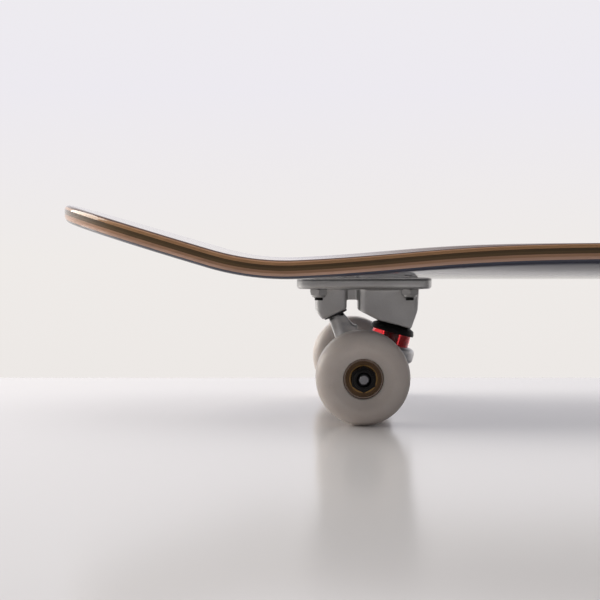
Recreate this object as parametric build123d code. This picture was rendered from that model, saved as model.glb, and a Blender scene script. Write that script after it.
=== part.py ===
"""Skateboard: a seven-ply concave deck on two kingpin trucks, with four urethane wheels on bearings.

Millimetres. X runs along the board with the tail at -X, Y is across it and Z is up.
The origin lies on the ground under the centre of the board.
"""
import os
from math import atan2, cos, radians, sin, sqrt, tan, tanh

from build123d import *

# ---------------------------------------------------------------- driving dimensions
DECK_LENGTH = 777.0
DECK_WIDTH = 203.0
TAIL_OVERHANG = 176.0  # tail tip to tail axle
NOSE_OVERHANG = 184.0  # nose tip to nose axle
PLY = 1.47  # one of seven maple veneers
PLY_COUNT = 7
EDGE_RADIUS = 3.2  # rounded rail, top and bottom

WHEEL_DIAMETER = 52.0
WHEEL_WIDTH = 32.0
TRUCK_HEIGHT = 53.0  # axle centre to the underside of the deck
HANGER_WIDTH = 139.0
AXLE_LENGTH = 203.0
AXLE_RADIUS = 4.0
AXLE_POINT = (3.1, 1.7)  # radius and length of the turned-down tips

TAIL_AXLE_X = -DECK_LENGTH / 2 + TAIL_OVERHANG
NOSE_AXLE_X = DECK_LENGTH / 2 - NOSE_OVERHANG
AXLE_Z = WHEEL_DIAMETER / 2
DECK_BOTTOM = AXLE_Z + TRUCK_HEIGHT
DECK_TOP = DECK_BOTTOM + PLY * PLY_COUNT

# deck shape
HALF_WIDTH = DECK_WIDTH / 2
TIP_RADIUS = 85.0
SIDE_RADIUS = 350.0
FLAT_HALF_WIDTH = 30.0  # the middle of the deck is flat, so the trucks seat on it
CONCAVE_DEPTH = 12.0
CONCAVE_POWER = 2.2
CONCAVE_MIDDLE = 21.0  # inboard of each axle, where the concave has risen halfway
CONCAVE_SPREAD = 66.0
KICK_START = 36.0  # outboard of each axle
KICK_RADIUS = 163.0
TAIL_ANGLE = 16.7
NOSE_ANGLE = 18.0
PAD_LENGTH = 240.0
PAD_WIDTH = 50.0
PAD_CUT = 0.05  # skims the middle of the deck truly flat

# truck bolts
BOLT_SPACING_X = 54.0
BOLT_SPACING_Y = 41.3
BOLT_OFFSET = 3.5  # bolt pattern centre, inboard of the axle
BOLT_RADIUS = 2.4
BOLT_HOLE_RADIUS = 2.6
BOLT_HEAD_RADIUS = 4.9
BOLT_HEAD_DEPTH = 2.9
BOLT_LENGTH = 23.0
BOLT_NUT_FLATS = 9.5
BOLT_NUT_HEIGHT = 5.0

# truck, in its own frame: origin on the axle, +X inboard, +Z up
PLATE_LENGTH = 80.0
PLATE_WIDTH = 56.0
PLATE_THICKNESS = 6.0
PIVOT_HOUSING = (-25.3, -6.3, 21.0)  # start, end and width of the block that holds the pivot cup
BOSS = (0.2, 37.1, 22.0)  # start, end and width of the kingpin boss
PLATE_GAP = 0.02  # left between the baseplate and the deck's curved underside
KINGPIN_TILT = 15.0
KINGPIN_POINT = (21.5, 0, 21.8)  # middle of the top washer
KINGPIN_RADIUS = 4.75
KINGPIN_HEAD_FLATS = 14.6
KINGPIN_NUT_FLATS = 14.3
KINGPIN_HEAD = (-29.0, -24.0)  # these pairs are distances down the kingpin
BOSS_SEAT = -3.5
TOP_BUSHING = (-2.0, 10.85)
YOKE_RING = (8.35, 17.75)
BOTTOM_BUSHING = (15.25, 23.75)
BOTTOM_WASHER = (23.75, 25.5)
KINGPIN_NUT = (25.5, 33.5)
KINGPIN_END = 36.0
RING_RADIUS = 16.5
RING_HOLE_RADIUS = 8.0
TOP_BUSHING_RADIUS = 11.75
BOTTOM_BUSHING_RADIUS = 10.3
BUSHING_GAP = 0.3
BUSHING_BORE = KINGPIN_RADIUS + 0.1
TOP_WASHER_RADIUS = 13.25
BOTTOM_WASHER_RADIUS = 8.6
PIVOT_CENTRE = (-15.5, 0, 36.6)
PIVOT_TILT = 23.7  # of the pivot stem from the vertical
PIVOT_RADIUS = 4.9
PIVOT_GAP = 0.35
PIVOT_CUP_TOP = 7.0  # above the ball centre
PIVOT_SEAT = 5.35  # end face of the housing, below the ball centre
PIVOT_CUP_RIM = 1.3  # flange of the cup, standing on the seat
PIVOT_CUP_RADII = (6.5, 7.35)  # of its body and its flange
HANGER_END_RADIUS = 8.4
HANGER_MIDDLE_RADIUS = 12.5

# bearings (608) and what stands beside them on the axle
BEARING_RADIUS = 11.0
BEARING_WIDTH = 7.0
BALL_RADIUS = 1.95
BALL_GROOVE_RADIUS = 2.05
BALL_PITCH_RADIUS = 7.5
BALL_COUNT = 7
INNER_RACE_RADIUS = 6.0
OUTER_RACE_BORE = 9.2
SHIELD_RADII = (6.35, 9.7)
SHIELD_THICKNESS = 0.35
SHIELD_INSET = 0.25
SPACER_LENGTH = 10.0
SPACER_RADIUS = 5.0
SPEED_WASHER = 0.8
SPEED_WASHER_RADIUS = 5.6
AXLE_NUT_FLATS = 12.7
AXLE_NUT_HEX = 4.6
AXLE_NUT_COLLAR = 1.5
AXLE_NUT_COLLAR_RADIUS = 5.3
CORE_RADIUS = 8.0  # wheel bore between the bearing seats

STACK_START = HANGER_WIDTH / 2 + SPEED_WASHER
BEARING_OFFSET = (SPACER_LENGTH + BEARING_WIDTH) / 2
WHEEL_Y = STACK_START + BEARING_OFFSET + BEARING_WIDTH / 2
STACK_END = 2 * WHEEL_Y - STACK_START

ENDS = {"tail": TAIL_AXLE_X, "nose": NOSE_AXLE_X}
SIDES = {"left": 1, "right": -1}
PARTS_FOLDER = "parts"


# ---------------------------------------------------------------- helpers
def write(name, *solids):
    """Writes one node, as one solid or as a group of separate ones."""
    shape = solids[0] if len(solids) == 1 else Compound(children=list(solids))
    export_step(shape, f"{PARTS_FOLDER}/{name}.step")


def turned(*points):
    """A solid turned about Z from a closed outline of (radius, height) points."""
    return revolve(Plane.XZ * make_face(Polyline(*points, close=True)), Axis.Z)


def ring(inner, outer, start, end):
    """A tube or washer about Z."""
    return turned((inner, start), (outer, start), (outer, end), (inner, end))


def hexagon(flats, start, end):
    """A hexagonal prism about Z, with its flats facing Y."""
    return Pos(0, 0, start) * extrude(RegularPolygon(flats / 2, 6, major_radius=False), end - start)


def hex_nut(flats, height, bore=0.0):
    """A nut on Z, or a bolt's head, with both ends chamfered at the corners."""
    corner = flats / 2 / cos(radians(30))
    bevel = (corner - flats / 2) * 1.1
    crown = turned((0, 0), (corner - bevel, 0), (corner, bevel * 0.6), (corner, height - bevel * 0.6),
                   (corner - bevel, height), (0, height))
    nut = hexagon(flats, 0, height) & crown
    return nut - Pos(0, 0, height / 2) * Cylinder(bore, height + 2) if bore else nut


def prism(plane, points, half_width):
    """An outline drawn on a plane and extruded the same distance to both sides of it."""
    return extrude(plane * make_face(Polyline(*points, close=True)), half_width, both=True)


def footprint(start, end, width, corner):
    """A tall block with rounded upright corners, between two X positions."""
    outline = RectangleRounded(end - start, width, corner)
    return Pos((start + end) / 2, 0, 0) * extrude(outline, TRUCK_HEIGHT)


# ---------------------------------------------------------------- deck
def kick_height(run, angle):
    """How far a kicktail has risen at a distance outboard of its axle."""
    bend_end = KICK_START + KICK_RADIUS * sin(radians(angle))
    if run <= KICK_START:
        return 0.0
    if run < bend_end:
        return KICK_RADIUS - sqrt(KICK_RADIUS**2 - (run - KICK_START) ** 2)
    return KICK_RADIUS * (1 - cos(radians(angle))) + (run - bend_end) * tan(radians(angle))


def concave_share(inboard):
    """The share of the full concave at a distance inboard of an axle."""
    return 0.5 * (1 + tanh((inboard - CONCAVE_MIDDLE) / CONCAVE_SPREAD))


def deck_height(x, y):
    """Height of the deck's top surface."""
    depth = CONCAVE_DEPTH * concave_share(x - TAIL_AXLE_X) * concave_share(NOSE_AXLE_X - x)
    across = max(0.0, abs(y) - FLAT_HALF_WIDTH) / (HALF_WIDTH - FLAT_HALF_WIDTH)
    kicks = kick_height(TAIL_AXLE_X - x, TAIL_ANGLE) + kick_height(x - NOSE_AXLE_X, NOSE_ANGLE)
    return DECK_TOP + depth * across**CONCAVE_POWER + kicks


def ply_face(depth):
    """The curved surface at a depth below the deck's top, measured square to it."""
    steps_x, steps_y, margin, delta = 84, 26, 15.0, 0.05
    rows = []
    for i in range(steps_x + 1):
        x = (i / steps_x - 0.5) * (DECK_LENGTH + 2 * margin)
        row = []
        for j in range(steps_y + 1):
            y = (j / steps_y - 0.5) * (DECK_WIDTH + 2 * margin)
            slope_x = (deck_height(x + delta, y) - deck_height(x - delta, y)) / (2 * delta)
            slope_y = (deck_height(x, y + delta) - deck_height(x, y - delta)) / (2 * delta)
            row.append((x, y, deck_height(x, y) - depth * sqrt(1 + slope_x**2 + slope_y**2)))
        rows.append(row)
    return Face.make_surface_from_array_of_points(rows, tol=0.02, min_deg=3, max_deg=5)


def deck_outline():
    """Popsicle outline: straight sides, long side arcs and a tighter arc at each tip."""
    tip = DECK_LENGTH / 2
    tip_centre = tip - TIP_RADIUS
    side_y = HALF_WIDTH - SIDE_RADIUS
    side_x = tip_centre - sqrt((SIDE_RADIUS - TIP_RADIUS) ** 2 - side_y**2)
    turn = atan2(tip_centre - side_x, -side_y)
    edges = []
    for sx in (1, -1):
        def on_side_arc(angle, sy, sx=sx):
            return (sx * (side_x + SIDE_RADIUS * sin(angle)), sy * (side_y + SIDE_RADIUS * cos(angle)))
        for sy in (1, -1):
            edges.append(ThreePointArc(*(on_side_arc(share * turn, sy) for share in (0, 0.5, 1))))
        edges.append(ThreePointArc(on_side_arc(turn, 1), (sx * tip, 0), on_side_arc(turn, -1)))
    for sy in (1, -1):
        edges.append(Line((-side_x, sy * HALF_WIDTH), (side_x, sy * HALF_WIDTH)))
    return make_face(edges)


def bolt_places():
    """Centres of the four truck bolts, seen from the truck's axle."""
    return [(BOLT_OFFSET + sx * BOLT_SPACING_X / 2, sy * BOLT_SPACING_Y / 2)
            for sx in (1, -1) for sy in (1, -1)]


def truck_bolt():
    """A countersunk cross-head bolt on Z, with its head's top at height 0."""
    bolt = turned((0, 0), (BOLT_HEAD_RADIUS, 0), (BOLT_RADIUS, -BOLT_HEAD_DEPTH),
                  (BOLT_RADIUS, -BOLT_LENGTH), (0, -BOLT_LENGTH))
    slot = Box(5.4, 1.1, 2.4) + Box(1.1, 5.4, 2.4)
    return bolt - slot


def bolt_countersink():
    """The room for a bolt's head, a cone that carries on past its rim at height 0."""
    slope = (BOLT_HEAD_RADIUS - BOLT_RADIUS) / BOLT_HEAD_DEPTH
    over, depth = 1.0, (BOLT_HEAD_RADIUS - BOLT_HOLE_RADIUS) / slope
    return turned((0, over), (BOLT_HEAD_RADIUS + over * slope, over), (BOLT_HOLE_RADIUS, -depth),
                  (0, -depth))


def at_end(end, x, y, z):
    """A place given from a truck's axle, with x inboard, as a location on the board."""
    if end == "tail":
        return Pos(TAIL_AXLE_X + x, y, AXLE_Z + z)
    return Pos(NOSE_AXLE_X - x, -y, AXLE_Z + z)


def make_deck():
    """Seven bent veneers, each one a solid, with the bolt holes through them."""
    reach = 120.0
    below = [extrude(ply_face(k * PLY), amount=reach, dir=(0, 0, -1)) for k in range(PLY_COUNT + 1)]
    blank = extrude(Pos(0, 0, DECK_BOTTOM - 20) * deck_outline(), 100)
    board = (blank & below[0]) - below[PLY_COUNT]
    rails = board.edges().filter_by(lambda edge: abs(edge.tangent_at(0.5).Z) < 0.9)
    board = fillet(rails, EDGE_RADIUS)
    pad = Pos(0, 0, DECK_TOP - PAD_CUT + 1) * Box(PAD_LENGTH, PAD_WIDTH, 2)
    places = [at_end(end, x, y, DECK_TOP - AXLE_Z) for end in ENDS for x, y in bolt_places()]
    for k in range(PLY_COUNT):
        ply = board & below[k] if k else board - pad
        if k < PLY_COUNT - 1:
            ply = ply - below[k + 1]
        for place in places:
            ply = ply - place * Pos(0, 0, -PLY * PLY_COUNT / 2) * Cylinder(BOLT_HOLE_RADIUS, 40)
            if k * PLY < BOLT_HEAD_DEPTH:
                ply = ply - place * bolt_countersink()
        write(f"deck_ply_{k + 1}", ply.solid())


def make_bolts(end):
    """Four bolts and their lock nuts at one truck."""
    bolts = [at_end(end, x, y, DECK_TOP - AXLE_Z) * truck_bolt() for x, y in bolt_places()]
    nut = hex_nut(BOLT_NUT_FLATS, BOLT_NUT_HEIGHT, BOLT_RADIUS)
    nut_z = TRUCK_HEIGHT - PLATE_THICKNESS - BOLT_NUT_HEIGHT
    nuts = [at_end(end, x, y, nut_z) * nut for x, y in bolt_places()]
    write(f"truck_bolts_{end}", *bolts)
    write(f"truck_bolt_nuts_{end}", *nuts)


# ---------------------------------------------------------------- truck
KINGPIN = Plane(origin=KINGPIN_POINT, x_dir=(0, 1, 0),
                z_dir=(-sin(radians(KINGPIN_TILT)), 0, -cos(radians(KINGPIN_TILT))))
PIVOT = Plane(origin=PIVOT_CENTRE, x_dir=(0, 1, 0),
              z_dir=(sin(radians(PIVOT_TILT)), 0, -cos(radians(PIVOT_TILT))))


def make_baseplate():
    """Cast plate with a kingpin boss inboard and a pivot housing outboard."""
    underside = TRUCK_HEIGHT - PLATE_THICKNESS
    plate = Pos(BOLT_OFFSET, 0, underside) * extrude(RectangleRounded(PLATE_LENGTH, PLATE_WIDTH, 9),
                                                     PLATE_THICKNESS)
    plate -= Pos(BOLT_OFFSET, 0, TRUCK_HEIGHT) * Box(PLATE_LENGTH, PLATE_WIDTH, 2 * PLATE_GAP)
    plate = chamfer(plate.faces().sort_by(Axis.Z)[0].edges(), 1.2)
    root = underside + 1
    start, end, width = PIVOT_HOUSING
    housing = prism(Plane.XZ, [(start, root), (start, 34.4), (-23.5, 31.2), (-20.6, 27.8), (-6.5, 34),
                               (end, root)], width / 2)
    housing -= PIVOT * Pos(0, 0, PIVOT_SEAT + 20) * Box(80, 80, 40)
    housing &= footprint(start, end, width, 4.0)
    start, end, width = BOSS
    boss = prism(Plane.XZ, [(start, root), (start, 34.1), (11.6, 28.2), (11.6, 20), (31.05, 20), (36.2, 33.9),
                            (end, root)], width / 2)
    boss -= KINGPIN * Pos(0, 0, BOSS_SEAT + 20) * Box(80, 80, 40)
    boss &= footprint(start, end, width, 5.0)
    seat = KINGPIN * Pos(0, 0, BOSS_SEAT - 2) * Cylinder(9.3, 4)
    rib = prism(Plane.XZ, [(-8, root), (-8, 40), (4, 40), (4, root)], 3.0)
    shape = plate + housing + boss + seat + rib
    shape -= KINGPIN * Cylinder(KINGPIN_RADIUS, 120)
    shape -= KINGPIN * hexagon(KINGPIN_HEAD_FLATS, KINGPIN_HEAD[0] - 20, KINGPIN_HEAD[1])
    shape -= PIVOT * ring(0, PIVOT_CUP_RADII[0], -PIVOT_CUP_TOP, PIVOT_SEAT + 10)
    for x, y in bolt_places():
        shape -= Pos(x, y, underside) * Cylinder(BOLT_HOLE_RADIUS, 30)
    return shape.solid()


def make_pivot_cup():
    """Plastic cup in the pivot housing, with a flange at its mouth and room for the pivot to swing."""
    cavity = PIVOT_RADIUS + PIVOT_GAP
    body, flange = PIVOT_CUP_RADII
    mouth = PIVOT_SEAT + PIVOT_CUP_RIM
    cup = turned((0, -PIVOT_CUP_TOP), (body, -PIVOT_CUP_TOP), (body, PIVOT_SEAT), (flange, PIVOT_SEAT),
                 (flange, mouth), (0, mouth))
    cup -= Sphere(cavity)
    cup -= turned((0, 0), (cavity, 0), (cavity + 0.6, mouth), (0, mouth))
    return (PIVOT * cup).solid()


def make_kingpin():
    """Hex-head bolt that holds the bushings and the hanger to the baseplate."""
    head = hex_nut(KINGPIN_HEAD_FLATS, KINGPIN_HEAD[1] - KINGPIN_HEAD[0])
    shank = ring(0, KINGPIN_RADIUS, KINGPIN_HEAD[0], KINGPIN_END)
    shank = chamfer(shank.edges().sort_by(Axis.Z)[-1], 0.9)
    return (KINGPIN * (Pos(0, 0, KINGPIN_HEAD[0]) * head + shank)).solid()


def make_kingpin_nut():
    """Lock nut at the bottom of the kingpin."""
    nut = hex_nut(KINGPIN_NUT_FLATS, KINGPIN_NUT[1] - KINGPIN_NUT[0], KINGPIN_RADIUS)
    return (KINGPIN * Pos(0, 0, KINGPIN_NUT[0]) * nut).solid()


def make_top_washer():
    """Cupped washer between the boss and the top bushing."""
    bore = BUSHING_BORE
    top, floor = BOSS_SEAT, TOP_BUSHING[0]
    cup = TOP_BUSHING_RADIUS + 0.1
    return (KINGPIN * turned((bore, top), (9.5, top), (12.4, top + 1.3), (TOP_WASHER_RADIUS, top + 2.9),
                             (TOP_WASHER_RADIUS, 1.5), (cup, 1.5), (cup, floor), (bore, floor))).solid()


def make_top_bushing():
    """Barrel bushing of soft urethane between the top washer and the hanger."""
    start, end = TOP_BUSHING
    outer = TOP_BUSHING_RADIUS
    return (KINGPIN * turned((BUSHING_BORE, start), (outer - 0.8, start), (outer, start + 0.8),
                             (outer, end), (BUSHING_BORE, end))).solid()


def make_bottom_bushing():
    """Cone bushing of soft urethane between the hanger and the bottom washer."""
    start, end = BOTTOM_BUSHING
    outer = BOTTOM_BUSHING_RADIUS
    shoulder = YOKE_RING[1]
    return (KINGPIN * turned((BUSHING_BORE, start), (outer, start), (outer, shoulder), (7.9, end),
                             (BUSHING_BORE, end))).solid()


def make_bottom_washer():
    """Flat washer under the cone bushing."""
    return (KINGPIN * ring(BUSHING_BORE, BOTTOM_WASHER_RADIUS, *BOTTOM_WASHER)).solid()


def make_hanger():
    """Cast hanger: axle housing, yoke ring round the kingpin and a stem up to the pivot."""
    half, middle, end = HANGER_WIDTH / 2, HANGER_MIDDLE_RADIUS, HANGER_END_RADIUS
    housing = Rot(90, 0, 0) * turned((0, -half), (end, -half), (end, -half + 10), (middle, -20),
                                     (middle, 20), (end, half - 10), (end, half), (0, half))
    collar = Cylinder(RING_RADIUS, YOKE_RING[1] - YOKE_RING[0])
    collar = fillet(collar.edges().filter_by(GeomType.CIRCLE), 3.0)
    collar = KINGPIN * Pos(0, 0, sum(YOKE_RING) / 2) * collar
    stem = prism(Plane.XZ, [(-16.97, 27.49), (-7.81, 31.51), (6.5, 14), (10, 0), (-6, -4)], 5.0)
    shoulders = prism(Plane.YZ, [(-6.5, 25), (6.5, 25), (36, 6), (36, 0), (-36, 0), (-36, 6)], 4.5)
    shoulders = Pos(-4.5, 0, 0) * shoulders
    gussets = prism(Plane.XY, [(2, -52), (15, -15), (15, 15), (2, 52), (-6, 52), (-6, -52)], 5.5)
    mouth = PIVOT_SEAT + PIVOT_CUP_RIM
    neck = PIVOT * turned((0, 0), (4.5, 0), (4.9, mouth), (5.3, mouth + 2.4), (5.3, mouth + 9),
                          (0, mouth + 9))
    shape = housing + collar + stem + shoulders + gussets + neck + PIVOT * Sphere(PIVOT_RADIUS)
    low = YOKE_RING[1]
    nut_room = KINGPIN * Pos(0, 0, low) * extrude(SlotCenterToCenter(7, 20), 40)
    top_room = KINGPIN * Pos(0, 0, YOKE_RING[0] - 30) * Cylinder(RING_RADIUS - 2.2, 60)
    shape -= nut_room
    shape -= top_room
    shape -= KINGPIN * ring(0, RING_HOLE_RADIUS, -5, 40)
    shape -= KINGPIN * ring(0, TOP_BUSHING_RADIUS + BUSHING_GAP, -5, TOP_BUSHING[1])
    shape -= KINGPIN * ring(0, BOTTOM_BUSHING_RADIUS + BUSHING_GAP, BOTTOM_BUSHING[0], low + 1)
    shape -= Rot(90, 0, 0) * Cylinder(AXLE_RADIUS, AXLE_LENGTH)
    return shape.solid()


def make_axle():
    """Steel axle through the hanger."""
    radius, length = AXLE_POINT
    shank = Cylinder(AXLE_RADIUS, AXLE_LENGTH - 2 * length)
    point = Cylinder(radius, AXLE_LENGTH)
    axle = chamfer(shank.edges().filter_by(GeomType.CIRCLE), 0.6)
    axle += chamfer(point.edges().filter_by(GeomType.CIRCLE), 0.4)
    return (Rot(90, 0, 0) * axle).solid()


def axle_nuts():
    """Lock nuts on both ends of the axle, each a hexagon with a round collar."""
    nut = hex_nut(AXLE_NUT_FLATS, AXLE_NUT_HEX, AXLE_RADIUS)
    nut += ring(AXLE_RADIUS, AXLE_NUT_COLLAR_RADIUS, AXLE_NUT_HEX, AXLE_NUT_HEX + AXLE_NUT_COLLAR)
    start = STACK_END + SPEED_WASHER
    return [(Rot(-90 * side, 0, 0) * Pos(0, 0, start) * nut).solid() for side in SIDES.values()]


def on_axle(inner, outer, spans):
    """Rings on the axle over the given spans of distance from its middle, at both ends."""
    return [Rot(-90 * side, 0, 0) * ring(inner, outer, *span) for side in SIDES.values() for span in spans]


def inner_races():
    """The four inner races clamped on the axle."""
    half = BEARING_WIDTH / 2
    race = ring(AXLE_RADIUS, INNER_RACE_RADIUS, -half, half) - Torus(BALL_PITCH_RADIUS, BALL_GROOVE_RADIUS)
    return [(Rot(90, 0, 0) * Pos(0, 0, side * WHEEL_Y + place * BEARING_OFFSET) * race).solid()
            for side in (1, -1) for place in (1, -1)]


def make_truck(end):
    """Every piece of one truck, from the baseplate to the axle nuts."""
    turn = Rot(0, 0, 0 if end == "tail" else 180)
    frame = Pos(ENDS[end], 0, AXLE_Z) * turn
    washers = [(STACK_START - SPEED_WASHER, STACK_START), (STACK_END, STACK_END + SPEED_WASHER)]
    spacers = [(WHEEL_Y - SPACER_LENGTH / 2, WHEEL_Y + SPACER_LENGTH / 2)]
    pieces = {
        "baseplate": [make_baseplate()],
        "pivot_cup": [make_pivot_cup()],
        "kingpin": [make_kingpin()],
        "kingpin_nut": [make_kingpin_nut()],
        "top_washer": [make_top_washer()],
        "top_bushing": [make_top_bushing()],
        "bottom_bushing": [make_bottom_bushing()],
        "bottom_washer": [make_bottom_washer()],
        "hanger": [make_hanger()],
        "axle": [make_axle()],
        "axle_nuts": axle_nuts(),
        "speed_washers": on_axle(AXLE_RADIUS, SPEED_WASHER_RADIUS, washers),
        "bearing_spacers": on_axle(AXLE_RADIUS, SPACER_RADIUS, spacers),
        "inner_races": inner_races(),
    }
    for name, solids in pieces.items():
        write(f"{name}_{end}", *(frame * solid for solid in solids))


# ---------------------------------------------------------------- wheels
def make_tyre():
    """Urethane wheel on Z, with a bearing seat in each face and rounded lips."""
    half, tread = WHEEL_WIDTH / 2, WHEEL_DIAMETER / 2
    core, seat = SPACER_LENGTH / 2, SPACER_LENGTH / 2 + BEARING_WIDTH
    lip_r, lip_z = 18.0, 8.5
    edges = []
    for side in (1, -1):
        outline = [(CORE_RADIUS, side * core), (BEARING_RADIUS, side * core), (BEARING_RADIUS, side * seat),
                   (BEARING_RADIUS + 0.6, side * (seat + 0.8)), (lip_r, side * half)]
        edges.append(Polyline(*outline))
        edges.append(ThreePointArc((lip_r, side * half),
                                   (lip_r + (tread - lip_r) * cos(radians(45)),
                                    side * (lip_z + (half - lip_z) * sin(radians(45)))),
                                   (tread, side * lip_z)))
    edges.append(Line((tread, lip_z), (tread, -lip_z)))
    edges.append(Line((CORE_RADIUS, core), (CORE_RADIUS, -core)))
    return revolve(Plane.XZ * make_face(edges), Axis.Z).solid()


def outer_race():
    """Outer race of a bearing on Z, with its ball groove and the steps that hold the shields."""
    half = BEARING_WIDTH / 2
    race = ring(OUTER_RACE_BORE, BEARING_RADIUS, -half, half)
    race -= Torus(BALL_PITCH_RADIUS, BALL_GROOVE_RADIUS)
    step = half - SHIELD_INSET - SHIELD_THICKNESS
    for side in (1, -1):
        race -= ring(0, SHIELD_RADII[1], *sorted((side * step, side * (half + 1))))
    return race.solid()


def shields():
    """The two dust shields of a bearing on Z."""
    outer = BEARING_WIDTH / 2 - SHIELD_INSET
    inner = outer - SHIELD_THICKNESS
    return [ring(*SHIELD_RADII, *sorted((side * inner, side * outer))).solid() for side in (1, -1)]


def balls():
    """The balls of a bearing on Z."""
    return [ball.solid() for ball in PolarLocations(BALL_PITCH_RADIUS, BALL_COUNT) * Sphere(BALL_RADIUS)]


def cage():
    """Crown cage that keeps the balls apart."""
    crown = ring(6.75, 8.25, -2.65, 0.9)
    for place in PolarLocations(BALL_PITCH_RADIUS, BALL_COUNT):
        crown -= place * Sphere(BALL_RADIUS + 0.15)
    return crown.solid()


def make_wheel(end, side):
    """One wheel with the turning pieces of its two bearings."""
    frame = Pos(ENDS[end], SIDES[side] * WHEEL_Y, AXLE_Z) * Rot(-90 * SIDES[side], 0, 0)
    seats = [Pos(0, 0, BEARING_OFFSET), Pos(0, 0, -BEARING_OFFSET) * Rot(180, 0, 0)]
    pieces = {
        "wheel": [make_tyre()],
        "outer_races": [seat * outer_race() for seat in seats],
        "bearing_shields": [seat * shield for seat in seats for shield in shields()],
        "bearing_balls": [seat * ball for seat in seats for ball in balls()],
        "ball_cages": [seat * cage() for seat in seats],
    }
    for name, solids in pieces.items():
        write(f"{name}_{end}_{side}", *(frame * solid for solid in solids))


# ---------------------------------------------------------------- assembly
os.makedirs(PARTS_FOLDER, exist_ok=True)
make_deck()
for truck_end in ENDS:
    make_bolts(truck_end)
    make_truck(truck_end)
    for wheel_side in SIDES:
        make_wheel(truck_end, wheel_side)
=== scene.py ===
"""Looks of the skateboard: veneers, cast trucks, urethane wheels, bearings, floor, light and camera."""
from math import atan2, ceil, cos, hypot, pi, radians, sin, sqrt, tan, tanh

import bmesh
import bpy
from mathutils import Matrix, Vector


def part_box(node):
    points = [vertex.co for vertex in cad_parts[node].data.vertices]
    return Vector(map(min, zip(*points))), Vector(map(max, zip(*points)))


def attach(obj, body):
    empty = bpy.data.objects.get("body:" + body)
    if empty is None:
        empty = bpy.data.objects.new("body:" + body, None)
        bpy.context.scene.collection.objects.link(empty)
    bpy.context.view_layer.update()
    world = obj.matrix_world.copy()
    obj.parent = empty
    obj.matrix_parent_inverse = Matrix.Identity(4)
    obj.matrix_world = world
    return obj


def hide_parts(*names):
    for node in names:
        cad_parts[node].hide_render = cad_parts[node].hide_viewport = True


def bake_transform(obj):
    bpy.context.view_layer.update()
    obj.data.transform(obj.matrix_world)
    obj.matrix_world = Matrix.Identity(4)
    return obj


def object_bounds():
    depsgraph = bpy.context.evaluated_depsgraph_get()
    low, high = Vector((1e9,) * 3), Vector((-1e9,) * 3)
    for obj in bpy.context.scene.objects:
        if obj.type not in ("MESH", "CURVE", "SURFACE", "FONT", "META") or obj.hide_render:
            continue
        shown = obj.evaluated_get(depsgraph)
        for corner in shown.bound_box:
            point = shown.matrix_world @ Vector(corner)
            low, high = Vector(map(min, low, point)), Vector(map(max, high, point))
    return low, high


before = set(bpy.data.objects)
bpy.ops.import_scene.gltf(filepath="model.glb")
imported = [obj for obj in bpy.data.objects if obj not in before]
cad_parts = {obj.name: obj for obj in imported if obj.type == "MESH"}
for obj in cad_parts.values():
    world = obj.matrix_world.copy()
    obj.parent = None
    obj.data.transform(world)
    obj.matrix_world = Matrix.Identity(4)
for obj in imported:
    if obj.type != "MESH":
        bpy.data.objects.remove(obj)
CAD_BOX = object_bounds()
MM = 0.001

# ---------------------------------------------------------------- sizes, in millimetres
DECK_LENGTH, DECK_WIDTH = ((CAD_BOX[1][i] - CAD_BOX[0][i]) / MM for i in (0, 1))
AXLE_X = {end: sum(c[0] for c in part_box(f"axle_{end}")) / 2 / MM for end in ("tail", "nose")}
AXLE_Z = sum(c[2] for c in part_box("axle_tail")) / 2 / MM
WHEEL_Y = sum(c[1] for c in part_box("wheel_tail_left")) / 2 / MM
ENDS = ("tail", "nose")
SIDES = {"left": 1, "right": -1}

PLY, PLY_COUNT = 1.47, 7
TRUCK_HEIGHT = 53.0
DECK_TOP = AXLE_Z + TRUCK_HEIGHT + PLY * PLY_COUNT
HAIR = 0.01  # an unseen gap, kept inside the CAD's own box and round tight fits
HALF_WIDTH = DECK_WIDTH / 2 - HAIR
TIP_RADIUS, SIDE_RADIUS = 85.0, 350.0
FLAT_HALF_WIDTH, CONCAVE_DEPTH, CONCAVE_POWER = 30.0, 12.0, 2.2
CONCAVE_MIDDLE, CONCAVE_SPREAD = 21.0, 66.0
KICK_START, KICK_RADIUS = 36.0, 163.0
KICK_ANGLE = {"tail": 16.7, "nose": 18.0}
SIDE_EDGE, TIP_EDGE = 2.4, 3.6  # radius of the rounded rail along the sides and at the tips
BOLT_OFFSET, BOLT_SPACING = 3.5, (54.0, 41.3)
BOLT_HEAD, BOLT_SHANK, BOLT_HEAD_DEPTH = 4.9, 2.4, 2.9

# truck, in its own frame: origin on the axle, x inboard, z up
KINGPIN_TILT, KINGPIN_POINT = 15.0, (21.5, 0.0, 21.8)  # the point is the middle of the cup washer
KINGPIN_RADIUS, BUSHING_BORE = 4.75, 4.85
KINGPIN_HEAD, KINGPIN_THREAD, KINGPIN_END = (-29.0, -24.0), (22.0, 35.2), 36.0  # distances down the kingpin
KINGPIN_HEAD_FLATS, KINGPIN_NUT_FLATS = 14.5, 14.3
PIVOT_TILT, PIVOT_CENTRE = 23.7, (-15.5, 0.0, 36.6)
PIVOT_CUP_RADIUS, PIVOT_BALL_ROOM = 6.5, 5.25
AXLE_RADIUS, AXLE_TIP_RADIUS, AXLE_THREAD_START = 4.0, 2.6, 93.0
AXLE_NUT_FLATS, BOLT_NUT_FLATS = 12.7, 9.5

# 608 bearings, two to a wheel
BEARING_RADIUS, BEARING_OFFSET = 11.0, 8.5
BALL_PITCH, BALL_GROOVE = 7.5, 2.05
SPACER_RADIUS, SPEED_WASHER_RADIUS = 5.0, 5.6


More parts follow.
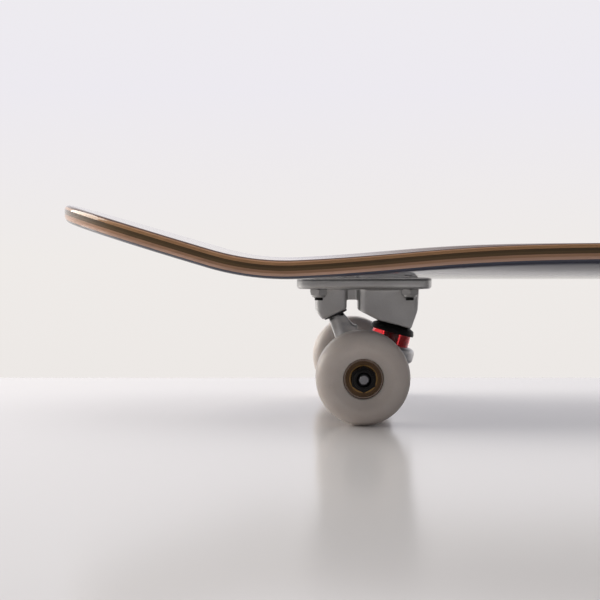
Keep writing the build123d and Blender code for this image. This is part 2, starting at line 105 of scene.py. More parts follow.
# ---------------------------------------------------------------- mesh helpers
def add_object(name, mesh, material, sharp=35.0):
    """Links a mesh as a smooth-shaded object, with creases kept sharp."""
    for polygon in mesh.polygons:
        polygon.use_smooth = True
    mesh.set_sharp_from_angle(angle=radians(sharp))
    mesh.materials.clear()
    mesh.materials.append(material)
    obj = bpy.data.objects.new(name, mesh)
    bpy.context.scene.collection.objects.link(obj)
    return obj


def mesh_from(name, verts, faces):
    """A clean closed mesh from points in millimetres, with its normals facing out."""
    work = bmesh.new()
    points = [work.verts.new(Vector(v) * MM) for v in verts]
    for face in faces:
        work.faces.new([points[i] for i in face])
    bmesh.ops.remove_doubles(work, verts=work.verts, dist=1e-7)
    bmesh.ops.dissolve_degenerate(work, edges=work.edges, dist=1e-8)
    bmesh.ops.recalc_face_normals(work, faces=work.faces)
    mesh = bpy.data.meshes.new(name)
    work.to_mesh(mesh)
    work.free()
    return mesh


def rounded(points, radius, steps=5):
    """A closed outline of (x, y) or (x, y, own radius) points with its corners rounded."""
    out = []
    for i, point in enumerate(points):
        corner = Vector(point[:2])
        size = point[2] if len(point) > 2 else radius
        before = Vector(points[i - 1][:2]) - corner
        after = Vector(points[(i + 1) % len(points)][:2]) - corner
        turn = before.angle(after)
        if size <= 0 or turn > radians(176):
            out.append(tuple(corner))
            continue
        cut = min(size / tan(turn / 2), 0.48 * before.length, 0.48 * after.length)
        before.normalize()
        after.normalize()
        centre = corner + (before + after).normalized() * (cut / cos(turn / 2))
        start, end = corner + before * cut - centre, corner + after * cut - centre
        first = atan2(start.y, start.x)
        sweep = (atan2(end.y, end.x) - first + pi) % (2 * pi) - pi
        for k in range(steps + 1):
            angle = first + sweep * k / steps
            out.append((centre.x + start.length * cos(angle), centre.y + start.length * sin(angle)))
    return out


def lathe(outline, segments=96):
    """Points and faces of a closed (radius, height) outline turned about Z."""
    verts, faces = [], []
    count = len(outline)
    for i in range(segments):
        angle = 2 * pi * i / segments
        verts += [(r * cos(angle), r * sin(angle), z) for r, z in outline]
    for i in range(segments):
        j = (i + 1) % segments
        for k in range(count):
            m = (k + 1) % count
            if outline[k][0] < 1e-6 and outline[m][0] < 1e-6:
                continue
            faces.append((i * count + k, j * count + k, j * count + m, i * count + m))
    return verts, faces


def rod(radius, start, end):
    """Points and faces of a plain round rod about Z, to cut with."""
    return lathe([(0, start), (radius, start), (radius, end), (0, end)], 64)


def oval_stack(slices, around=40):
    """Points and faces of a closed stack of (centre, half width, half thickness, height) ovals."""
    verts, faces = [], []
    for centre, width, thickness, z in slices:
        for i in range(around):
            angle = 2 * pi * i / around
            verts.append((centre + width * cos(angle), thickness * sin(angle), z))
    for k in range(len(slices) - 1):
        for i in range(around):
            j = (i + 1) % around
            faces.append((k * around + i, k * around + j, (k + 1) * around + j, (k + 1) * around + i))
    last = (len(slices) - 1) * around
    faces += [tuple(range(around)), tuple(reversed(range(last, last + around)))]
    return verts, faces


def polygon_prism(outline, start, end, bevel=0.0):
    """Points and faces of an (x, y) outline extruded along Z, with bevelled rims."""
    layers = [(start, 0.0), (end, 0.0)]
    if bevel:
        layers = [(start, bevel), (start + bevel, 0.0), (end - bevel, 0.0), (end, bevel)]
    verts, faces = [], []
    count = len(outline)
    for z, inset in layers:
        for x, y in outline:
            shrink = 1 - inset / max(hypot(x, y), 1e-6)
            verts.append((x * shrink, y * shrink, z))
    for layer in range(len(layers) - 1):
        for i in range(count):
            j = (i + 1) % count
            low, high = layer * count, (layer + 1) * count
            faces.append((low + i, low + j, high + j, high + i))
    faces.append(tuple(reversed(range(count))))
    faces.append(tuple(range((len(layers) - 1) * count, len(layers) * count)))
    return verts, faces


def moved(shape, matrix):
    """Points and faces with the points moved by a matrix."""
    verts, faces = shape
    return [tuple(matrix @ Vector(v)) for v in verts], faces


def joined(*shapes):
    """Several point and face lists as one."""
    verts, faces = [], []
    for more_verts, more_faces in shapes:
        start = len(verts)
        verts += more_verts
        faces += [tuple(start + i for i in face) for face in more_faces]
    return verts, faces


def axis_matrix(origin, direction):
    """A matrix that takes Z to a direction, at an origin."""
    turn = Vector(direction).to_track_quat("Z", "Y").to_matrix().to_4x4()
    return Matrix.Translation(Vector(origin)) @ turn


def truck_matrix(end):
    """A truck's own frame, with x inboard, as a matrix on the board."""
    turn = Matrix.Rotation(0 if end == "tail" else pi, 4, "Z")
    return Matrix.Translation((AXLE_X[end], 0, AXLE_Z)) @ turn


KINGPIN = axis_matrix(KINGPIN_POINT, (-sin(radians(KINGPIN_TILT)), 0, -cos(radians(KINGPIN_TILT))))
PIVOT = axis_matrix(PIVOT_CENTRE, (sin(radians(PIVOT_TILT)), 0, -cos(radians(PIVOT_TILT))))
ALONG_Y = Matrix.Rotation(-pi / 2, 4, "X")


def make_piece(name, shape, material, body, node, sharp=35.0):
    """A finished piece that rides on a body and stands for a CAD node."""
    piece = add_object(name, mesh_from(name, *shape), material, sharp)
    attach(piece, body)
    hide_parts(node)
    return piece


def evaluated_mesh(obj, name):
    """The mesh of an object with its modifiers applied."""
    depsgraph = bpy.context.evaluated_depsgraph_get()
    depsgraph.update()
    mesh = bpy.data.meshes.new_from_object(obj.evaluated_get(depsgraph))
    mesh.name = name
    return mesh


def scratch(name, mesh):
    """A temporary object for modifiers and cutters."""
    obj = bpy.data.objects.new(name, mesh)
    bpy.context.scene.collection.objects.link(obj)
    return obj


def cut(mesh, cutter_shapes, name):
    """The mesh with closed shapes cut out of it."""
    target = scratch(name + "_work", mesh)
    cutters = [scratch(name + "_cut", mesh_from("cutter", *shape)) for shape in cutter_shapes]
    for cutter in cutters:
        modifier = target.modifiers.new("cut", "BOOLEAN")
        modifier.operation, modifier.solver, modifier.object = "DIFFERENCE", "EXACT", cutter
    result = evaluated_mesh(target, name)
    for obj in [target, *cutters]:
        bpy.data.objects.remove(obj)
    return result


# ---------------------------------------------------------------- material helpers
class Nodes:
    """A short way to build a node tree."""

    def __init__(self, name):
        self.material = bpy.data.materials.new(name)
        self.material.use_nodes = True
        self.tree = self.material.node_tree
        self.shader = self.tree.nodes["Principled BSDF"]
        where = self.tree.nodes.new("ShaderNodeTexCoord")
        self.coords, self.facing = where.outputs["Object"], where.outputs["Normal"]

    def add(self, kind, inputs=None, **settings):
        node = self.tree.nodes.new("ShaderNode" + kind)
        for key, value in settings.items():
            setattr(node, key, value)
        for key, value in (inputs or {}).items():
            if isinstance(value, bpy.types.NodeSocket):
                self.tree.links.new(value, node.inputs[key])
            else:
                node.inputs[key].default_value = value
        return node

    def mapped(self, scale, turn=(0, 0, 0), shift=(0, 0, 0)):
        return self.add("Mapping", {"Vector": self.coords, "Scale": scale, "Rotation": turn,
                                    "Location": shift}).outputs[0]

    def noise(self, vector, scale=1.0, detail=4.0, roughness=0.55, distortion=0.0):
        return self.add("TexNoise", {"Vector": vector, "Scale": scale, "Detail": detail,
                                     "Roughness": roughness, "Distortion": distortion}).outputs["Fac"]

    def ramp(self, value, stops):
        node = self.add("ValToRGB", {"Fac": value})
        elements = node.color_ramp.elements
        while len(elements) < len(stops):
            elements.new(0.5)
        for element, (place, colour) in zip(elements, stops):
            element.position = place
            element.color = colour if len(colour) == 4 else (*colour, 1)
        return node.outputs["Color"]

    def grey(self, value, low, high, start=0.3, end=0.7):
        return self.add("MapRange", {"Value": value, "From Min": start, "From Max": end, "To Min": low,
                                     "To Max": high}).outputs[0]

    def mix(self, factor, a, b, blend="MIX"):
        return self.add("MixRGB", {"Fac": factor, "Color1": a, "Color2": b}, blend_type=blend).outputs[0]

    def math(self, operation, a, b=0.0):
        return self.add("Math", {0: a, 1: b}, operation=operation).outputs[0]

    def bump(self, height, strength, distance):
        return self.add("Bump", {"Height": height, "Strength": strength, "Distance": distance}).outputs[0]

    def set(self, **values):
        for key, value in values.items():
            socket = self.shader.inputs[key.replace("_", " ")]
            if isinstance(value, bpy.types.NodeSocket):
                self.tree.links.new(value, socket)
            else:
                socket.default_value = value
        return self.material


def shades(colour, *factors):
    """Lighter and darker versions of a colour."""
    return [tuple(min(1.0, c * factor) for c in colour) for factor in factors]


def wood(name, colour, seed, contrast=1.0, face_tint=None):
    """Lacquered maple veneer: long grain, soft bands and short dark pores along X, and a darker brown on its
    upward-facing faces.
    """
    n = Nodes(name)
    shift = (seed * 1.7, seed * 0.6, seed * 2.3)
    grain = n.noise(n.mapped((5, 150, 320), shift=shift), detail=8, roughness=0.65)
    bands = n.noise(n.mapped((1.6, 26, 40), shift=shift), detail=3, distortion=0.8)
    pores = n.noise(n.mapped((110, 2200, 2600), shift=shift), detail=2)
    factors = (1 + change * contrast for change in (-0.34, -0.18, 0.0, 0.16))
    dark, deep, base, light = shades(colour, *factors)
    fine = n.ramp(grain, [(0.32, deep), (0.5, base), (0.68, light)])
    broad = n.ramp(bands, [(0.3, (0.80, 0.78, 0.75)), (0.5, (1, 1, 1)), (0.7, (1.0, 0.97, 0.93))])
    toned = n.mix(0.8 * contrast, fine, broad, "MULTIPLY")
    specks = n.grey(pores, 0.0, 0.55, 0.62, 0.72)
    final = n.mix(specks, toned, (*dark, 1))
    # with a face tint, faces whose normals point up, the top face and the upper rounded rail, turn darker
    # brown
    if face_tint:
        height = n.add("SeparateXYZ", {0: n.facing}).outputs["Z"]
        grain = n.noise(n.mapped((4, 130, 10), shift=shift), detail=8, roughness=0.62, distortion=0.3)
        upward_tone = n.ramp(grain, list(zip((0.3, 0.5, 0.7), shades(face_tint, 0.55, 1.0, 1.35))))
        cathedral = n.noise(n.mapped((1.1, 17, 3), shift=shift), detail=4, distortion=1.2)
        flames = n.ramp(cathedral, [(0.35, (0.66, 0.62, 0.6)), (0.6, (1, 1, 1))])
        upward_tone = n.mix(0.75, upward_tone, flames, "MULTIPLY")
        final = n.mix(n.grey(height, 0.0, 1.0, 0.66, 0.74), final, upward_tone)
    return n.set(Base_Color=final, Roughness=n.grey(grain, 0.46, 0.34), Specular_IOR_Level=0.2,
                 Coat_Weight=1.0, Coat_Roughness=0.05, Coat_IOR=1.5, Normal=n.bump(grain, 0.10, 0.0002),
                 Coat_Normal=n.bump(n.noise(n.mapped((5, 12, 12)), detail=1), 0.015, 0.0006))


def painted_wood(name, colour):
    """Opaque gloss colour over veneer, with the grain just telegraphing through."""
    n = Nodes(name)
    grain = n.noise(n.mapped((6, 170, 10)), detail=7, roughness=0.6)
    cloud = n.noise(n.mapped((9, 9, 9)), detail=4)
    low, mid, high = shades(colour, 0.75, 1.0, 1.35)
    tone = n.ramp(grain, [(0.3, low), (0.5, mid), (0.72, high)])
    tone = n.mix(0.35, tone, n.ramp(cloud, [(0.35, mid), (0.65, high)]))
    return n.set(Base_Color=tone, Roughness=n.grey(cloud, 0.28, 0.4), Coat_Weight=1.0, Coat_Roughness=0.04,
                 Normal=n.bump(grain, 0.10, 0.0002))


def cast_metal(name):
    """Satin cast aluminium: fine sand-cast skin, faint stains and polishing marks."""
    n = Nodes(name)
    skin = n.noise(n.mapped((1, 1, 1)), 900, detail=3, roughness=0.6)
    uneven = n.noise(n.mapped((1, 1, 1)), 90, detail=4)
    face_tint = n.noise(n.mapped((1, 1, 1)), 28, detail=5, roughness=0.6)
    brushed = n.noise(n.mapped((2600, 60, 2600)), detail=2)
    dull, plain, bright = (0.50, 0.495, 0.49), (0.60, 0.597, 0.595), (0.67, 0.67, 0.672)
    tone = n.ramp(face_tint, [(0.3, dull), (0.5, plain), (0.7, bright)])
    tone = n.mix(0.25, tone, n.ramp(brushed, [(0.3, (0.48, 0.48, 0.48)), (0.7, (0.72, 0.72, 0.72))]))
    height = n.math("ADD", n.math("MULTIPLY", skin, 0.5), uneven)
    return n.set(Base_Color=tone, Metallic=1.0, Roughness=n.grey(uneven, 0.30, 0.46),
                 Normal=n.bump(height, 0.22, 0.0006))


def steel(name, colour, low, high):
    """Turned or ground steel with a fine tool mark and cloudy roughness."""
    n = Nodes(name)
    marks = n.noise(n.mapped((2400, 90, 2400)), detail=2)
    cloud = n.noise(n.mapped((1, 1, 1)), 120, detail=4)
    dark, light = shades(colour, 0.82, 1.1)
    return n.set(Base_Color=n.ramp(cloud, [(0.3, dark), (0.7, light)]), Metallic=1.0,
                 Roughness=n.grey(cloud, low, high), Normal=n.bump(marks, 0.08, 0.0001))


def black_steel(name):
    """Black oxide with slightly browner, worn patches."""
    n = Nodes(name)
    cloud = n.noise(n.mapped((1, 1, 1)), 160, detail=5, roughness=0.6)
    grit = n.noise(n.mapped((1, 1, 1)), 2600, detail=2)
    deep, plain, worn = (0.006, 0.006, 0.006), (0.011, 0.010, 0.010), (0.032, 0.026, 0.021)
    tone = n.ramp(cloud, [(0.35, deep), (0.6, plain), (0.8, worn)])
    return n.set(Base_Color=tone, Roughness=n.grey(cloud, 0.34, 0.5), Specular_IOR_Level=0.2,
                 Normal=n.bump(grit, 0.12, 0.00008))


def black_plastic(name):
    """Moulded black nylon with a fine sparkless texture."""
    n = Nodes(name)
    cloud = n.noise(n.mapped((1, 1, 1)), 200, detail=3)
    grit = n.noise(n.mapped((1, 1, 1)), 3000, detail=2)
    tone = n.ramp(cloud, [(0.3, (0.012, 0.012, 0.013)), (0.7, (0.022, 0.022, 0.023))])
    return n.set(Base_Color=tone, Roughness=n.grey(cloud, 0.42, 0.55), Normal=n.bump(grit, 0.15, 0.00008))


def white_urethane(name):
    """Cast urethane: milky, faintly uneven, with dust and scuffs on the tread."""
    n = Nodes(name)
    cloud = n.noise(n.mapped((1, 1, 1)), 55, detail=4)
    fine = n.noise(n.mapped((1, 1, 1)), 1400, detail=3)
    scuff = n.noise(n.mapped((240, 900, 240)), detail=5, roughness=0.7)
    dim, plain, bright = (0.66, 0.595, 0.55), (0.70, 0.635, 0.59), (0.735, 0.67, 0.625)
    tone = n.ramp(cloud, [(0.3, dim), (0.5, plain), (0.7, bright)])
    tone = n.mix(n.grey(scuff, 0.0, 0.16, 0.55, 0.75), tone, (0.40, 0.36, 0.32, 1))
    return n.set(Base_Color=tone, Roughness=n.grey(cloud, 0.34, 0.46), Subsurface_Weight=0.35,
                 Subsurface_Radius=(1.0, 0.85, 0.7), Subsurface_Scale=0.004,
                 Normal=n.bump(fine, 0.06, 0.0001))


def red_urethane(name):
    """Translucent red urethane, clear enough to show the kingpin through it."""
    n = Nodes(name)
    cloud = n.noise(n.mapped((1, 1, 1)), 140, detail=3)
    fine = n.noise(n.mapped((1, 1, 1)), 1500, detail=2)
    tone = n.ramp(cloud, [(0.3, (0.88, 0.045, 0.055)), (0.7, (0.95, 0.07, 0.08))])
    return n.set(Base_Color=tone, Roughness=n.grey(cloud, 0.04, 0.09), Transmission_Weight=0.94, IOR=1.16,
                 Coat_Weight=0.5, Coat_Roughness=0.08, Normal=n.bump(fine, 0.04, 0.0001))


def floor_material(name):
    """Pale, smooth tabletop with a soft reflection."""
    n = Nodes(name)
    cloud = n.noise(n.mapped((1, 1, 1)), 2, detail=2)
    tone = n.ramp(cloud, [(0.3, (0.83, 0.81, 0.81)), (0.7, (0.845, 0.825, 0.825))])
    return n.set(Base_Color=tone, Roughness=n.grey(cloud, 0.15, 0.17), Specular_IOR_Level=0.5)


MAPLE = wood("maple", (0.50, 0.265, 0.125), 1)
MAPLE_TOP = wood("maple_top", (0.78, 0.455, 0.27), 2, 1.1, (0.15, 0.065, 0.045))
DARK_VENEER = wood("dark_veneer", (0.10, 0.056, 0.018), 3, 0.9)
OLIVE_VENEER = wood("olive_veneer", (0.135, 0.08, 0.03), 5, 0.9)
ROSE_MAPLE = wood("rose_maple", (0.48, 0.265, 0.16), 4)
PALE_ROSE = wood("pale_rose", (0.64, 0.39, 0.28), 6)
NAVY_VENEER = painted_wood("navy_veneer", (0.028, 0.032, 0.062))
CAST = cast_metal("cast_aluminium")
STEEL = steel("steel", (0.55, 0.55, 0.56), 0.22, 0.36)
RACE_STEEL = steel("race_steel", (0.62, 0.61, 0.60), 0.12, 0.22)
BRONZE = steel("bronze_shield", (0.36, 0.22, 0.09), 0.26, 0.4)
# a darkened copy of the shield bronze, painted shade of the shield's recessed groove; the raised lip keeps
# the lit bronze above
SHADED_BRONZE = steel("shaded_bronze", (0.15, 0.095, 0.055), 0.3, 0.42)
# outer race steel: a bronze tint, and darkened as painted shade of the bearing set in its recess; inner
# races and balls keep the plain race steel
SHADED_TINTED_RACE = steel("shaded_tinted_race", (0.25, 0.19, 0.155), 0.2, 0.32)
ZINC = steel("zinc", (0.46, 0.455, 0.45), 0.3, 0.46)
DULL_STEEL = steel("dull_steel", (0.29, 0.29, 0.31), 0.3, 0.44)
BLACK_STEEL = black_steel("black_steel")
BLACK_PLASTIC = black_plastic("black_plastic")
WHITE = white_urethane("white_urethane")
RED = red_urethane("red_urethane")


# ---------------------------------------------------------------- deck
def kick_height(run, angle):
    """How far a kicktail has risen at a distance outboard of its axle."""
    bend_end = KICK_START + KICK_RADIUS * sin(radians(angle))
    if run <= KICK_START:
        return 0.0
    if run < bend_end:
        return KICK_RADIUS - sqrt(KICK_RADIUS**2 - (run - KICK_START) ** 2)
    return KICK_RADIUS * (1 - cos(radians(angle))) + (run - bend_end) * tan(radians(angle))


def concave_share(inboard):
    """The share of the full concave at a distance inboard of an axle."""
    return 0.5 * (1 + tanh((inboard - CONCAVE_MIDDLE) / CONCAVE_SPREAD))


def deck_height(x, y):
    """Height of the deck's top surface."""
    depth = CONCAVE_DEPTH * concave_share(x - AXLE_X["tail"]) * concave_share(AXLE_X["nose"] - x)
    across = max(0.0, abs(y) - FLAT_HALF_WIDTH) / (HALF_WIDTH - FLAT_HALF_WIDTH)
    kicks = (kick_height(AXLE_X["tail"] - x, KICK_ANGLE["tail"])
             + kick_height(x - AXLE_X["nose"], KICK_ANGLE["nose"]))
    return DECK_TOP + depth * across**CONCAVE_POWER + kicks


def below_top(x, y, depth):
    """Height of the surface at a depth below the top, measured square to it."""
    delta = 0.05
    slope_x = (deck_height(x + delta, y) - deck_height(x - delta, y)) / (2 * delta)
    slope_y = (deck_height(x, y + delta) - deck_height(x, y - delta)) / (2 * delta)
    return deck_height(x, y) - depth * sqrt(1 + slope_x**2 + slope_y**2)


def rail_points(spacing=4.0):
    """Points round the outline, each with its outward direction."""
    tip = DECK_LENGTH / 2 - 2 * HAIR
    tip_centre = tip - TIP_RADIUS
    side_y = HALF_WIDTH - SIDE_RADIUS
    side_x = tip_centre - sqrt((SIDE_RADIUS - TIP_RADIUS) ** 2 - side_y**2)
    turn = atan2(tip_centre - side_x, -side_y)

    def arc(x, y, radius, start, end):
        """Points along an arc, its angles measured from straight across the board."""
        count = ceil(radius * (end - start) / spacing)
        angles = [start + (end - start) * k / count for k in range(count)]
        return [(x + radius * sin(a), y + radius * cos(a), sin(a), cos(a)) for a in angles]

    straight = ceil(side_x / spacing)
    quarter = [(side_x * k / straight, HALF_WIDTH, 0.0, 1.0) for k in range(straight)]
    quarter += arc(side_x, side_y, SIDE_RADIUS, 0.0, turn)
    quarter += arc(tip_centre, 0.0, TIP_RADIUS, turn, pi / 2)
    mirrored = [(x, -y, nx, -ny) for x, y, nx, ny in reversed(quarter)]
    nose_half = [*quarter, (tip, 0.0, 1.0, 0.0), *mirrored]
    tail_half = [(-x, y, -nx, ny) for x, y, nx, ny in reversed(nose_half)][1:-1]
    return nose_half + tail_half


RAIL = rail_points()
SPINE_HALF = DECK_LENGTH / 2 - TIP_RADIUS


def rail_inset(depth, radius):
    """How far a rounded rail lies inside the outline at a depth below the top."""
    total = PLY * PLY_COUNT
    near = min(depth, total - depth)
    if near >= radius:
        return 0.0
    return radius - sqrt(max(0.0, radius**2 - (radius - near) ** 2))


def outward_slope(x, y, nx, ny):
    """How steeply the deck climbs on its way out over the rail."""
    reach = 2.0
    return (deck_height(x, y) - deck_height(x - nx * reach, y - ny * reach)) / reach


def deck_ring(depth, share):
    """One loop of points on the surface at a depth, shrunk towards the middle line by a share."""
    upper = 1 if depth < PLY * PLY_COUNT / 2 else -1
    loop = []
    for x, y, nx, ny in RAIL:
        radius = SIDE_EDGE + (TIP_EDGE - SIDE_EDGE) * nx**2
        inset = rail_inset(depth, radius) * (1 + upper * nx**2 * outward_slope(x, y, nx, ny))
        edge_x, edge_y = x - nx * inset, y - ny * inset
        spine_x = max(-SPINE_HALF, min(SPINE_HALF, edge_x))
        px, py = spine_x + share * (edge_x - spine_x), share * edge_y
        loop.append((px, py, below_top(px, py, depth)))
    return loop


def ply_shape(index, surface_steps=26, band_steps=6):
    """A closed bent veneer: its upper surface, its rounded edge and its lower surface."""
    top, bottom = index * PLY, (index + 1) * PLY
    shares = [1 - (1 - k / surface_steps) ** 1.15 for k in range(surface_steps + 1)]
    loops = [deck_ring(top, share) for share in shares]
    loops += [deck_ring(top + (bottom - top) * k / band_steps, 1) for k in range(1, band_steps)]
    loops += [deck_ring(bottom, share) for share in reversed(shares)]
    count = len(RAIL)
    verts = [point for loop in loops for point in loop]
    faces = []
    for row in range(len(loops) - 1):
        for i in range(count):
            j = (i + 1) % count
            faces.append((row * count + i, row * count + j, (row + 1) * count + j, (row + 1) * count + i))
    return verts, faces


def bolt_places():
    """Centres of the four truck bolts, seen from the truck's axle."""
    return [(BOLT_OFFSET + along * BOLT_SPACING[0] / 2, across * BOLT_SPACING[1] / 2)
            for along in (1, -1) for across in (1, -1)]


def bolt_room():
    """The countersunk hole of one truck bolt, with its rim at height 0."""
    slope = (BOLT_HEAD - BOLT_SHANK) / BOLT_HEAD_DEPTH
    gap, over, through = 0.12, 2.0, -16.0
    return lathe([(0, over), (BOLT_HEAD + gap + over * slope, over), (BOLT_SHANK + gap, -BOLT_HEAD_DEPTH),
                  (BOLT_SHANK + gap, through), (0, through)], 40)


def make_deck():
    """The seven veneers, with the bolt holes cut through each."""
    materials = [MAPLE_TOP, MAPLE, DARK_VENEER, OLIVE_VENEER, ROSE_MAPLE, PALE_ROSE, NAVY_VENEER]
    holes = []
    for end in ENDS:
        for x, y in bolt_places():
            place = truck_matrix(end) @ Matrix.Translation((x, y, DECK_TOP - AXLE_Z))
            holes.append(moved(bolt_room(), place))
    for index in range(PLY_COUNT):
        name = f"veneer_{index + 1}"
        mesh = cut(mesh_from(name, *ply_shape(index)), [joined(*holes)], name)
        piece = add_object(name, mesh, materials[index], 32)
        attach(piece, "board")
        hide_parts(f"deck_ply_{index + 1}")


# ---------------------------------------------------------------- castings
def cast_shape(node, voxel, smoothing, trimmed=(), added=None, bores=()):
    """A CAD solid, trimmed and filled out, with every edge melted round and its bores then cut crisp."""
    whole = bmesh.new()
    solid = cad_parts[node].data
    whole.from_mesh(cut(solid.copy(), trimmed, node) if trimmed else solid)
    if added:
        whole.from_mesh(mesh_from("added", *added))
    mesh = bpy.data.meshes.new(node)
    whole.to_mesh(mesh)
    whole.free()
    source = scratch(node + "_cast", mesh)
    remesh = source.modifiers.new("cast", "REMESH")
    remesh.mode, remesh.voxel_size = "VOXEL", voxel * MM
    soften = source.modifiers.new("soften", "SMOOTH")
    soften.factor, soften.iterations = 0.5, smoothing
    mesh = evaluated_mesh(source, "cast_" + node)
    bpy.data.objects.remove(source)
    return cut(mesh, bores, "cast_" + node)


def stem_shape():
    """The hanger's stem: ovals that widen from the pivot down to the axle housing."""
    top, bottom, steps = 27.4, 13.0, 10
    slices = []
    for k in range(steps + 1):
        fall = (top - bottom) * k / steps
        left, right = -16.9 + 0.348 * fall, -5.4 + 0.58 * fall
        slices.append(((left + right) / 2, (right - left) / 2, 5.0 + 0.16 * fall, top - fall))
    return oval_stack(slices)


def shoulder_cuts():
    """What is cut off the hanger's two shoulders, to slope them down from the stem."""
    slope = [(5.5, 30.0), (40.0, 30.0), (40.0, 6.0), (36.0, 6.0), (5.5, 18.0)]  # y and z
    start, length = -12.0, 14.0
    upright = Matrix(((0, 0, 1, start), (1, 0, 0, 0), (0, 1, 0, 0), (0, 0, 0, 1)))
    return [moved(polygon_prism([(side * y, z) for y, z in slope], 0.0, length), upright)
            for side in SIDES.values()]


def make_castings(end):
    """The hanger and the baseplate of one truck."""
    truck = truck_matrix(end)
    down = truck @ KINGPIN
    axle_bore = moved(rod(AXLE_RADIUS, -80, 80), truck @ ALONG_Y)
    yoke_bores = [moved(rod(radius, start, stop), down)
                  for radius, start, stop in ((8.0, 5, 30), (12.05, 0, 10.85), (10.6, 15.25, 18.4))]
    shape = cast_shape(f"hanger_{end}", 0.7, 9, [moved(shoulder, truck) for shoulder in shoulder_cuts()],
                       moved(stem_shape(), truck), [axle_bore, *yoke_bores])
    hanger = add_object(f"cast_hanger_{end}", shape, CAST, 40)
    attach(hanger, f"hanger_set_{end}")
    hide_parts(f"hanger_{end}")
    plate_bores = [moved(rod(KINGPIN_RADIUS + HAIR, -60, 20), down),
                   moved(rod(PIVOT_CUP_RADIUS + 2 * HAIR, -7.02, 20), truck @ PIVOT)]
    shape = cast_shape(f"baseplate_{end}", 0.6, 6, bores=plate_bores)
    plate = add_object(f"cast_baseplate_{end}", shape, CAST, 40)
    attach(plate, "board")
    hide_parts(f"baseplate_{end}")


# ---------------------------------------------------------------- truck hardware
def hexagon(flats):
    """Corners of a hexagon with its flats facing y."""
    corner = flats / 2 / cos(radians(30))
    return [(corner * cos(radians(60 * k)), corner * sin(radians(60 * k))) for k in range(6)]


def hex_body(flats, bore, start, end):
    """A nut: hexagonal sides, turned chamfers that scallop the corners, and a countersunk bore."""
    segments, sink, shallowest, steepness = 96, 0.5, 0.06, 0.55
    rim = flats / 2 - 0.15
    verts, faces = [], []
    for i in range(segments):
        angle = 2 * pi * i / segments + radians(30)
        side = flats / 2 / cos((angle + radians(30)) % radians(60) - radians(30))
        fall = max(shallowest, (side - rim) * steepness)
        profile = [(bore, start + sink), (bore + sink, start), (rim, start), (side, start + fall),
                   (side, end - fall), (rim, end), (bore + sink, end), (bore, end - sink)]
        verts += [(r * cos(angle), r * sin(angle), z) for r, z in profile]
    count = len(profile)
    for i in range(segments):
        j = (i + 1) % segments
        for k in range(count):
            m = (k + 1) % count
            faces.append((i * count + k, j * count + k, j * count + m, i * count + m))
    return verts, faces


def threaded(radius, start, end, pitch, depth):
    """Outline points of a threaded stretch, from start to end."""
    turns = int((end - start) / pitch)
    points = []
    for k in range(turns):
        base = start + k * (end - start) / turns
        points += [(radius, base + 0.15 * pitch), (radius - depth, base + 0.65 * pitch)]
    return points


def kingpin_shape():
    """The kingpin: a shank with its thread, and a hexagonal head at the top."""
    neck, thread = KINGPIN_HEAD[1], KINGPIN_THREAD
    shank = [(0, neck), (KINGPIN_RADIUS, neck), (KINGPIN_RADIUS, thread[0]),
             *threaded(KINGPIN_RADIUS, *thread, 1.27, 0.45), (4.0, KINGPIN_END), (0, KINGPIN_END)]
    return joined(lathe(shank, 64), polygon_prism(hexagon(KINGPIN_HEAD_FLATS), *KINGPIN_HEAD, 0.5))


def cup_washer_shape():
    """The cupped washer that the barrel bushing sits in."""
    bore = BUSHING_BORE
    outside = [(bore, -3.5), (9.4, -3.5, 1.6), (12.6, -1.9, 1.6), (13.25, 0.2, 1.0), (13.25, 1.5, 0.5)]
    inside = [(11.95, 1.5, 0.4), (11.9, 0.0, 0.8), (11.2, -1.95, 1.0), (bore, -2.0)]
    return lathe(rounded(outside + inside, 0.2))


def barrel_outline():
    """The barrel bushing, with loops along its bore."""
    bore = BUSHING_BORE
    barrel = rounded([(bore, -1.9), (10.4, -1.9, 1.0), (11.65, 0.2, 2.0), (11.75, 4.2, 6.0),
                      (11.65, 9.0, 4.0), (11.2, 10.8, 0.8), (bore, 10.8)], 0.3, 8)
    return barrel + [(bore, z) for z in (8, 5, 2, 0)]


def cone_outline():
    """The cone bushing, with loops along its bore."""
    bore = BUSHING_BORE
    cone = [(bore, 15.3), (10.2, 15.3, 0.6), (10.25, 18.2, 1.5), (7.9, 23.7, 1.0), (bore, 23.7)]
    return rounded(cone, 0.3, 6) + [(bore, z) for z in (22, 20, 18)]


def pivot_cup_shape():
    """The plastic pivot cup: a flanged plug with a round-bottomed socket."""
    room = PIVOT_BALL_ROOM
    cup = [(PIVOT_CUP_RADIUS, -7.0), (PIVOT_CUP_RADIUS, 5.37), (7.2, 5.37), (7.35, 5.55), (7.35, 6.4),
           (7.1, 6.65), (6.1, 6.65), (5.8, 6.4)]
    cup += [(room + 0.5 * k / 4, 1.0 + 5 * k / 4) for k in (3, 2, 1)]
    cup += [(room * cos(radians(a)), -room * sin(radians(a))) for a in range(0, 91, 10)]
    return lathe([*cup, (0, -7.0)], 64)


